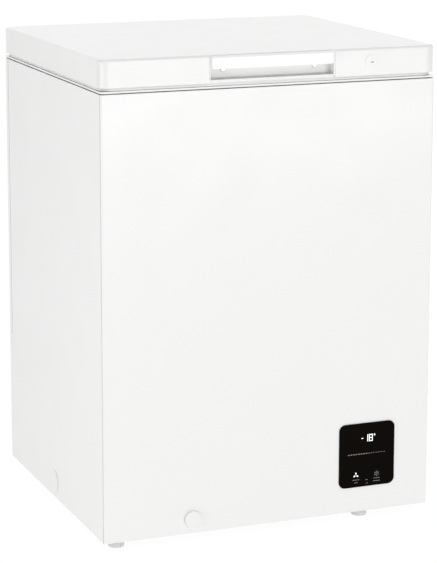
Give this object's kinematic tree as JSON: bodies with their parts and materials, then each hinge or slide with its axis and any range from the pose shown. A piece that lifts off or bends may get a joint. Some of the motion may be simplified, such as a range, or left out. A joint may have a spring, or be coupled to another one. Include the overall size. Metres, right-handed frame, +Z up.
{
  "type": "chest freezer",
  "caption": "Small upright-proportioned chest freezer with a top-opening lid, front grip handle, key lock, glass touch panel, hanging basket and compressor bay.",
  "frame": {"origin": "on the floor, under the middle of the whole freezer with its handle and hinges", "axes": "+Z up, front with the handle and control panel faces -Y, +X to the right as one stands in front"},
  "size_m": [0.624, 0.594, 0.854],
  "materials": {
    "white_steel": "satin",
    "galvanised_steel": "satin",
    "liner_aluminium": "satin",
    "foam": "matte",
    "white_plastic": "satin",
    "handle_white": "gloss",
    "gasket_vinyl": "matte",
    "plug_rubber": "matte",
    "grey_plastic": "matte",
    "black_plastic": "matte",
    "control_glass": "gloss",
    "display_light": "matte",
    "icon_print": "matte",
    "circuit_board": "satin",
    "hinge_steel": "satin",
    "zinc_steel": "satin",
    "lock_metal": "polished",
    "black_enamel": "satin",
    "grommet_rubber": "matte",
    "copper_pipe": "satin",
    "evaporator_pipe": "satin",
    "basket_wire": "satin"
  },
  "bodies": {
    "cabinet": {"front_panel": "white_steel", "left_side_panel": "white_steel", "right_side_panel": "white_steel", "back_panel": "white_steel", "back_lower_panel": "white_steel", "bottom_plate": "galvanised_steel", "bay_liner": "galvanised_steel", "rear_cover": "galvanised_steel", "compressor_base": "galvanised_steel", "inner_liner": "liner_aluminium", "insulation_foam": "foam", "top_frame": "white_plastic", "foam_fill_cap": "white_plastic", "side_vent_grille": "white_plastic", "drain_spout": "white_plastic", "control_housing": "black_plastic", "terminal_cover": "black_plastic", "cord_gland": "black_plastic", "control_glass": "control_glass", "display_digits": "display_light", "panel_icons": "icon_print", "control_board": "circuit_board", "hinge_base_left": "hinge_steel", "hinge_base_right": "hinge_steel", "hinge_pins": "zinc_steel", "hinge_springs": "zinc_steel", "hinge_base_screws": "zinc_steel", "rear_cover_screws": "zinc_steel", "compressor_bolts": "zinc_steel", "condenser_coil": "zinc_steel", "compressor_shell": "black_enamel", "compressor_grommets": "grommet_rubber", "suction_tube": "copper_pipe", "discharge_tube": "copper_pipe", "capillary_tube": "copper_pipe", "filter_drier": "copper_pipe", "temperature_probe": "copper_pipe", "evaporator_coil": "evaporator_pipe"},
    "lid": {"lid_outer_shell": "white_plastic", "lid_inner_panel": "white_plastic", "lid_foam": "foam", "lid_gasket": "gasket_vinyl", "handle_base": "white_plastic", "handle_grip": "handle_white", "handle_screws": "zinc_steel", "lock_housing": "white_plastic", "hinge_arm_left": "hinge_steel", "hinge_arm_right": "hinge_steel", "hinge_arm_screws": "zinc_steel"},
    "lock": {"lock_barrel": "lock_metal", "lock_cam": "zinc_steel"},
    "basket": {"basket_tub": "basket_wire", "basket_rim": "basket_wire"},
    "drain_cap": {"drain_cap": "white_plastic"},
    "drain_plug": {"drain_plug": "plug_rubber"},
    "foot_front_left": {"foot_front_left": "grey_plastic"},
    "foot_front_right": {"foot_front_right": "grey_plastic"},
    "foot_rear_left": {"foot_rear_left": "grey_plastic"},
    "foot_rear_right": {"foot_rear_right": "grey_plastic"}
  },
  "joints": [
    {"name": "lid_hinge", "type": "hinge", "parent": "cabinet", "child": "lid", "pos_m": [0, 0.289, 0.8], "axis": [-1, 0, 0], "range_deg": [0, 80]},
    {"name": "lock_turn", "type": "hinge", "parent": "lid", "child": "lock", "pos_m": [0.187, -0.287, 0.829], "axis": [0, 1, 0], "range_deg": [0, 90]},
    {"name": "basket_slide", "type": "slide", "parent": "cabinet", "child": "basket", "axis": [-1, 0, 0], "range_m": [0, 0.25]},
    {"name": "drain_cap_pull", "type": "slide", "parent": "cabinet", "child": "drain_cap", "axis": [0, -1, 0], "range_m": [0, 0.04]},
    {"name": "drain_plug_lift", "type": "slide", "parent": "cabinet", "child": "drain_plug", "axis": [0, 0, 1], "range_m": [0, 0.05]},
    {"name": "foot_front_left_turn", "type": "hinge", "parent": "cabinet", "child": "foot_front_left", "pos_m": [-0.279, -0.258, 0], "axis": [0, 0, 1], "continuous": true},
    {"name": "foot_front_right_turn", "type": "hinge", "parent": "cabinet", "child": "foot_front_right", "pos_m": [0.187, -0.258, 0], "axis": [0, 0, 1], "continuous": true},
    {"name": "foot_rear_left_turn", "type": "hinge", "parent": "cabinet", "child": "foot_rear_left", "pos_m": [-0.279, 0.248, 0], "axis": [0, 0, 1], "continuous": true},
    {"name": "foot_rear_right_turn", "type": "hinge", "parent": "cabinet", "child": "foot_rear_right", "pos_m": [0.187, 0.248, 0], "axis": [0, 0, 1], "continuous": true}
  ]
}
